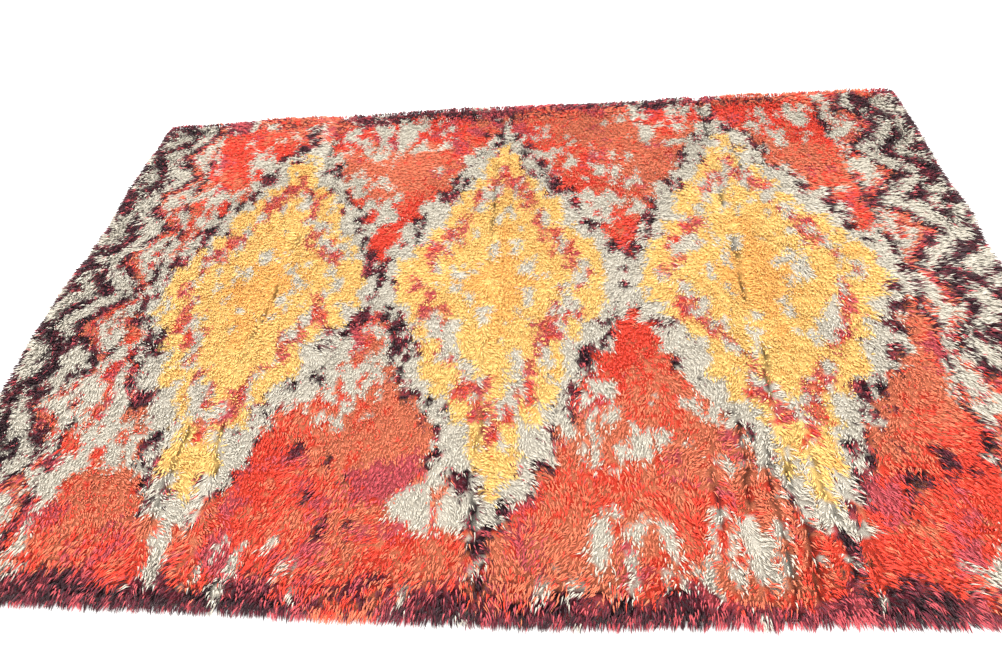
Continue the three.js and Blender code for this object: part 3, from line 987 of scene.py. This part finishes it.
def yarn_material(name, colour, other_ply, painted_root_shade):
    material, tree, shader = matt_material(f"{name} wool yarn", roughness=0.88, specular=0.2)
    shader.inputs["Sheen Weight"].default_value = SHEEN
    shader.inputs["Sheen Roughness"].default_value = SHEEN_ROUGHNESS
    yarn = tree.nodes.new("ShaderNodeGroup")
    yarn.node_tree = wool_yarn
    yarn.inputs["Colour"].default_value = (*colour, 1)
    yarn.inputs["Other Ply"].default_value = (*other_ply, 1)
    yarn.inputs["Painted Root Shade"].default_value = painted_root_shade
    link(tree, yarn.outputs["Colour"], shader.inputs["Base Color"])
    link(tree, yarn.outputs["Normal"], shader.inputs["Normal"])
    return material


yarn_materials = [yarn_material(*looks) for *looks, _ in YARNS]
print("materials:", [material.name for material in yarn_materials])

# %% [markdown]
# All locks of one yarn become one mesh, built from arrays: tens of thousands of objects would be
# slow, and a single mesh of all yarns would be too large to handle. A yarn with very many locks
# is parted at the rug's middle. A map lays every lock's sides flat in a cell of its own, so that
# a finish can be baked on it later.

# %% Build the pile, one piece for each yarn
MOST_LOCKS = 32000  # the most locks in one mesh
CELL_MARGIN = 0.03  # the free margin round each lock's cell in the map


def lock_map():
    """Each corner of the lock's faces as its turn round the lock (0 to 1) and its place along."""
    flat = np.zeros((len(lock_faces), 3, 2))
    turns = (np.arctan2(lock_points[:, 1], lock_points[:, 0]) / (2 * math.pi)) % 1
    on_belly = np.hypot(lock_points[:, 0], lock_points[:, 1]) > 0.5
    for number, face in enumerate(lock_faces):
        turn, belly = turns[face], on_belly[face]
        if np.ptp(turn[belly]) > 0.5:
            turn = np.where(turn < 0.5, turn + 1, turn)
        flat[number, :, 0] = np.where(belly, turn, turn[belly].mean())
        flat[number, :, 1] = lock_points[face, 2]
    flat[..., 0] -= flat[..., 0].min()
    return flat


def build_pile(name, points, tone, material):
    """One mesh of many locks, with each lock's tone and each point's place on its lock."""
    locks, per_lock = points.shape[:2]
    faces = (lock_faces[None] + per_lock * np.arange(locks)[:, None, None]).reshape(-1)
    mesh = bpy.data.meshes.new(name)
    mesh.vertices.add(locks * per_lock)
    mesh.vertices.foreach_set("co", points.astype(np.float32).ravel())
    mesh.loops.add(len(faces))
    mesh.loops.foreach_set("vertex_index", faces.astype(np.int32))
    mesh.polygons.add(len(faces) // 3)
    mesh.polygons.foreach_set("loop_start", np.arange(0, len(faces), 3, dtype=np.int32))
    mesh.polygons.foreach_set("use_smooth", np.ones(len(faces) // 3, bool))
    for title, kind, values in (
        ("tone", "POINT", np.repeat(tone, per_lock)),
        ("along", "POINT", np.tile(lock_points[:, 2], locks)),
        ("around", "CORNER", np.tile(lock_map()[..., 0].ravel(), locks)),
    ):
        layer = mesh.attributes.new(title, "FLOAT", kind)
        layer.data.foreach_set("value", values.astype(np.float32))
    cells = math.ceil(math.sqrt(locks))
    corner = np.stack([np.arange(locks) % cells, np.arange(locks) // cells], 1)
    flat = (corner[:, None, None] + CELL_MARGIN + (1 - 2 * CELL_MARGIN) * lock_map()[None]) / cells
    mesh.uv_layers.new(name="OFBake").uv.foreach_set("vector", flat.astype(np.float32).ravel())
    mesh.materials.append(material)
    mesh.update()
    mesh.validate()
    pile = bpy.data.objects.new(name, mesh)
    bpy.context.scene.collection.objects.link(pile)
    return pile


tones = chance_source.uniform(0, 1, len(all_points))
pile_pieces = []
for number, (name, *_) in enumerate(YARNS):
    chosen = yarn_numbers == number
    shares = {f"{name}_pile": chosen}
    if chosen.sum() > MOST_LOCKS:
        shares = {
            f"{name}_pile_left": chosen & (root_x < 0),
            f"{name}_pile_right": chosen & (root_x >= 0),
        }
    for title, share in shares.items():
        piece = build_pile(title, all_points[share], tones[share], yarn_materials[number])
        pile_pieces.append(piece)
        print(piece.name, len(piece.data.polygons), "triangles")

# %% [markdown]
# The two broad pieces left, the bed of roots and the ground weave, start as grids. Their colours
# come from the same design as the locks', point by point, so the yarns run on underneath.

# %% Grids in the yarns' colours
GROOVE_WIDTH = 0.010  # a groove fades out over about this width
GROOVE_MIDDLE = 0.0001  # beside the middle line, a fold's push is whole from here on
GROOVE_PAINTED_SHADE, GROOVE_STEEPNESS = 0.8, 1.6  # how much painted shade darkens the bed in a crease, and how soon
TUFT_COLOUR_CELL = 0.02  # points in one such cell share the random number that picks their yarn
LEAST_SHADE = 0.30  # how light the bed's painted shade leaves it at the least, beside its yarn


def edit_all():
    bpy.ops.object.mode_set(mode="EDIT")
    bpy.ops.mesh.select_all(action="SELECT")


def plain_grid(name, size_x, size_y, cell):
    """A flat grid on the floor, about the origin."""
    nothing_selected()
    bpy.ops.mesh.primitive_grid_add(
        x_subdivisions=round(size_x / cell), y_subdivisions=round(size_y / cell), size=1
    )
    grid = bpy.context.object
    grid.name = name
    grid.scale = (size_x, size_y, 1)
    bpy.ops.object.transform_apply(location=False, rotation=False, scale=True)
    return grid


def places_of(piece):
    return np.array([v.co for v in piece.data.vertices])


def set_places(piece, places):
    piece.data.vertices.foreach_set("co", places.astype(np.float32).ravel())


def close_up():
    """Cuts the piece into triangles and turns them all outwards."""
    edit_all()
    bpy.ops.mesh.quads_convert_to_tris()
    bpy.ops.mesh.normals_make_consistent(inside=False)
    bpy.ops.object.mode_set(mode="OBJECT")


def groove_depth(x, y):
    """From 0 to 1 at the middle line of a crease where it gapes."""
    whole = np.hypot(*away_from_folds(x, y, GROOVE_MIDDLE))
    return openness(x, y) * (whole - np.hypot(*away_from_folds(x, y, GROOVE_WIDTH)))


def paint_with_yarns(piece, strength, with_painted_shade):
    """Gives every point the colour of the design over it; with painted shade, darker where pile keeps
    the light out.
    """
    x, y, _ = places_of(piece).T
    colours = np.array([(*colour, 1) for _, colour, *_ in YARNS])
    shades = [min(1, LEAST_SHADE + (1 - LEAST_SHADE) * painted_root_shade) for *_, painted_root_shade, _ in YARNS]
    tuft_column, tuft_row = np.floor(x / TUFT_COLOUR_CELL), np.floor(y / TUFT_COLOUR_CELL)
    yarn = design(x, y, scatter(tuft_column, tuft_row, 42))
    light = np.full(len(x), strength)
    if with_painted_shade:
        # painted shade: the bed darker for yarns with dark roots, and darker still along the middle of
        # a crease
        in_groove = smooth(GROOVE_STEEPNESS * groove_depth(x, y))
        light *= np.array(shades)[yarn] * (1 - GROOVE_PAINTED_SHADE * in_groove)
    painted = colours[yarn]
    painted[:, :3] *= light[:, None]
    layer = piece.data.attributes.new("yarn_colour", "FLOAT_COLOR", "POINT")
    layer.data.foreach_set("color", painted.astype(np.float32).ravel())


deepest = groove_depth(*np.mgrid[-1.5:1.5:0.01, -1:1:0.01]).max()
print("deepest groove:", round(float(deepest), 2))

# %% [markdown]
# Under the loose ends the roots of the pile are packed tight. They are one soft bed that follows
# the rug's lumps and creases. Little light comes down to it, so its colours carry painted shade,
# darker still in the creases. A grid is dented to the bed's height, and its rim is extruded down
# to the ground weave and closed.

# %% The bed of packed roots
BED_CELL = 0.0128
BED_INSET = 0.004  # the bed stays this far inside the ground weave's edge
BED_SHARE = 0.50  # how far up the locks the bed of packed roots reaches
BED_SINK = 0.28  # how much less that share is near the rim, where the pile parts outwards
BED_GROOVE = 0.013  # how much deeper the bed lies along the middle of a crease
BED_SINK_WIDTH, BED_SINK_STEEPNESS = 0.16, 1.25
BED_FLOOR = GROUND_THICKNESS + 0.0004  # just clear of the weave
BED_LEAST = 0.003  # the bed is nowhere thinner
BED_STRENGTH = 0.9  # how strong the yarns' colours are on the bed; the rest is painted shade
TUFT_SCALE = 300
TUFT_RANGE = (0.05, 0.6)
TUFT_PAINTED_SHADE = (1.15, 0.66)  # painted shade between tufts: lightness from a tuft's middle to its edge
BED_RELIEF, BED_RELIEF_DEPTH = 1.0, 0.002


def build_bed():
    size_x, size_y = GROUND_LENGTH - 2 * BED_INSET, GROUND_WIDTH - 2 * BED_INSET
    bed = plain_grid("pile_roots", size_x, size_y, BED_CELL)
    plain_x, plain_y, _ = places_of(bed).T
    low, rise = roots_and_rise(plain_x, plain_y)
    sink = smooth(BED_SINK_STEEPNESS * (1 - edge_inset(plain_x, plain_y) / BED_SINK_WIDTH))
    height = low + (BED_SHARE - BED_SINK * sink) * rise - BED_GROOVE * groove_depth(plain_x, plain_y)
    height = np.maximum(height, BED_FLOOR + BED_LEAST)
    set_places(bed, np.stack([*settle(plain_x, plain_y), height], 1))

    edit_all()
    bpy.ops.mesh.region_to_loop()
    bpy.ops.mesh.extrude_edges_move(TRANSFORM_OT_translate={"value": (0, 0, -1)})
    bpy.ops.mesh.edge_face_add()
    bpy.ops.object.mode_set(mode="OBJECT")
    places = places_of(bed)
    places[:, 2] = np.where(places[:, 2] < 0, BED_FLOOR, places[:, 2])
    set_places(bed, places)
    close_up()
    bpy.ops.object.shade_smooth()
    paint_with_yarns(bed, strength=BED_STRENGTH, with_painted_shade=True)
    return bed


def bed_material():
    material, tree, shader = matt_material("packed pile roots", roughness=0.95, specular=0.15)
    tufts = tree.nodes.new("ShaderNodeTexVoronoi")
    tufts.inputs["Scale"].default_value = TUFT_SCALE
    link(tree, object_places(tree), tufts.inputs["Vector"])
    distance = tufts.outputs["Distance"]
    # painted shade: the packed roots darker towards the edges of their tufts
    light = map_range(tree, distance, *TUFT_RANGE, *TUFT_PAINTED_SHADE)
    colour = lit(tree, attribute(tree, "yarn_colour", "Color"), light)
    link(tree, colour, shader.inputs["Base Color"])
    normal = raised(tree, distance, BED_RELIEF, BED_RELIEF_DEPTH, invert=True)
    link(tree, normal, shader.inputs["Normal"])
    return material


bed = build_bed()
bed.data.materials.append(bed_material())
print(bed.name, len(bed.data.polygons), "triangles")

# %% [markdown]
# The ground is a thick plain weave. Only its back ever shows, when the rug is lifted: the rows of
# knots come through as short coloured stitches between bands of plain weft, and at the two ends
# the cloth is turned under in a hem. A grid gets its outline, its thickness from Solidify, and a
# small step where the hem ends.

# %% The ground weave
WEAVE_CELL = 0.032
HEM_WIDTH = 0.028
HEM_FOLD = 0.002  # the hem's edge rises over this width
HEM_STEP = 0.0009
KNOT_ROW = 0.017  # from one row of knots to the next
STITCH = 0.0056  # width of one knot seen from the back
STITCH_STRENGTH = 0.8
ROW_SHARE, STITCH_SHARE = 0.34, 0.40  # a knot's share of its row, and half its share of its width
WEFT_PITCH, WARP_PITCH = 0.0016, 0.0028
WEAVE_LIGHT = (0.78, 1.06)
UNDYED = (0.52, 0.45, 0.34, 1)
WEAVE_RELIEF, WEAVE_RELIEF_DEPTH = 0.6, 0.0012
CLOTH_HEIGHT = 0.3  # the threads' relief beside the knots'


def build_ground():
    ground = plain_grid("ground_weave", GROUND_LENGTH, GROUND_WIDTH, WEAVE_CELL)
    bpy.ops.object.mode_set(mode="EDIT")
    for side in (-1, 1):
        for inward in (HEM_WIDTH, HEM_WIDTH + HEM_FOLD):
            bpy.ops.mesh.select_all(action="SELECT")
            cut_place = (side * (GROUND_LENGTH / 2 - inward), 0, 0)
            bpy.ops.mesh.bisect(plane_co=cut_place, plane_no=(1, 0, 0))
    bpy.ops.object.mode_set(mode="OBJECT")
    plain_x, plain_y, _ = places_of(ground).T
    height = np.full(len(plain_x), GROUND_THICKNESS)
    set_places(ground, np.stack([*settle(plain_x, plain_y), height], 1))

    inner = np.abs(plain_x) < GROUND_LENGTH / 2 - HEM_WIDTH - HEM_FOLD / 2
    ground.vertex_groups.new(name="inner").add(np.flatnonzero(inner).tolist(), 1.0, "REPLACE")
    solidify = ground.modifiers.new("thickness", "SOLIDIFY")
    solidify.thickness = GROUND_THICKNESS
    solidify.offset = -1
    bpy.ops.object.modifier_apply(modifier=solidify.name)
    places = places_of(ground)
    inside_hems = np.array([len(v.groups) > 0 for v in ground.data.vertices])
    on_back = places[:, 2] < GROUND_THICKNESS / 2
    places[:, 2] = np.where(on_back & inside_hems, HEM_STEP, places[:, 2])
    set_places(ground, places)
    close_up()
    paint_with_yarns(ground, strength=STITCH_STRENGTH, with_painted_shade=False)
    return ground


def repeat(tree, value, pitch):
    """A saw from 0 to 1 over each pitch."""
    return math_node(tree, "FRACT", math_node(tree, "DIVIDE", value, pitch))


def waves(tree, value, pitch):
    return math_node(tree, "SINE", math_node(tree, "MULTIPLY", value, 2 * math.pi / pitch))


def weave_material():
    material, tree, shader = matt_material("rya ground weave", roughness=0.9, specular=0.2)
    split = tree.nodes.new("ShaderNodeSeparateXYZ")
    link(tree, object_places(tree), split.inputs[0])
    x, y = split.outputs["X"], split.outputs["Y"]
    cloth = math_node(tree, "MULTIPLY", waves(tree, y, WEFT_PITCH), waves(tree, x, WARP_PITCH))
    in_row = math_node(tree, "LESS_THAN", repeat(tree, y, KNOT_ROW), ROW_SHARE)
    stitch = math_node(tree, "ABSOLUTE", math_node(tree, "SUBTRACT", repeat(tree, x, STITCH), 0.5))
    knot = math_node(tree, "MULTIPLY", in_row, math_node(tree, "LESS_THAN", stitch, STITCH_SHARE))
    linen = lit(tree, UNDYED, map_range(tree, cloth, -1, 1, *WEAVE_LIGHT))
    colour = mix_colour(tree, "MIX", knot, linen, attribute(tree, "yarn_colour", "Color"))
    link(tree, colour, shader.inputs["Base Color"])
    height = math_node(tree, "ADD", math_node(tree, "MULTIPLY", cloth, CLOTH_HEIGHT), knot)
    link(tree, raised(tree, height, WEAVE_RELIEF, WEAVE_RELIEF_DEPTH), shader.inputs["Normal"])
    return material


ground = build_ground()
ground.data.materials.append(weave_material())
print(ground.name, len(ground.data.polygons), "triangles")

# %% [markdown]
# Last, every piece is tied to the rug's one body. The bed of roots takes the place of the plain
# solid. The ground weave is the cloth that was cut to size, and the pile goes with it.

# %% Tie the pieces to the rug
for piece in (ground, bed, *pile_pieces):
    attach(piece, "root")
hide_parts("rug")

print("triangles in all:", sum(len(p.data.polygons) for p in (ground, bed, *pile_pieces)))
